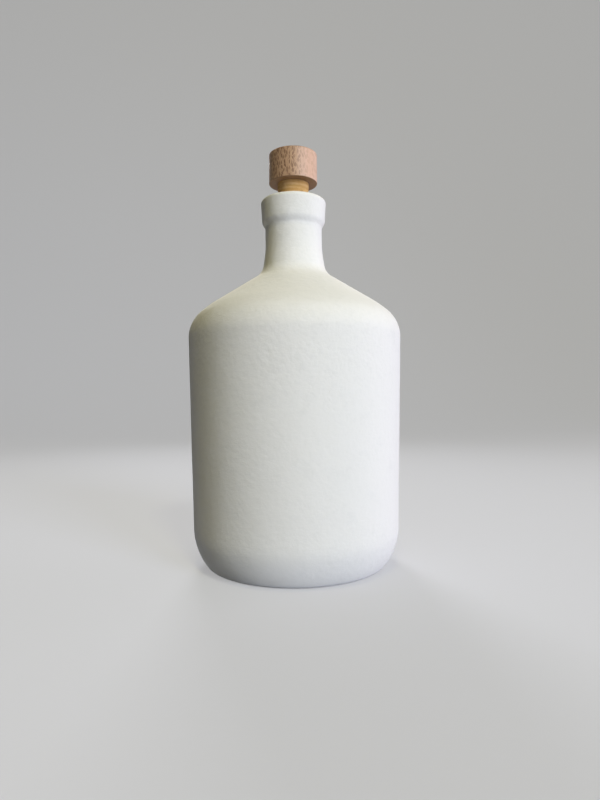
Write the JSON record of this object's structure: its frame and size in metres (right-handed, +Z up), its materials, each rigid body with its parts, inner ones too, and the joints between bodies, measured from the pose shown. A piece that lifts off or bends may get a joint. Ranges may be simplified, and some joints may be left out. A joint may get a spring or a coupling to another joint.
{
  "type": "oil bottle",
  "caption": "Squat matte white ceramic oil bottle with a sloping shoulder, a short neck with a bead lip, and a lift-out stopper of beech on cork.",
  "frame": {"origin": "centre of the foot, on the surface that the bottle stands on", "axes": "+Z up along the bottle's axis of revolution; X and Y are alike"},
  "size_m": [0.1302, 0.1302, 0.254],
  "materials": {
    "white_bisque": "matte, chalky, fine horizontal wipe marks",
    "cork": "ground cork, matte",
    "beech": "sanded beech with ray flecks, unlacquered"
  },
  "bodies": {
    "bottle": {"vessel": "white_bisque"},
    "stopper": {"stopper_cork": "cork", "stopper_head": "beech"}
  },
  "joints": [
    {"name": "stopper_lift", "type": "slide", "parent": "bottle", "child": "stopper", "axis": [0, 0, 1], "range_m": [0, 0.06]}
  ]
}
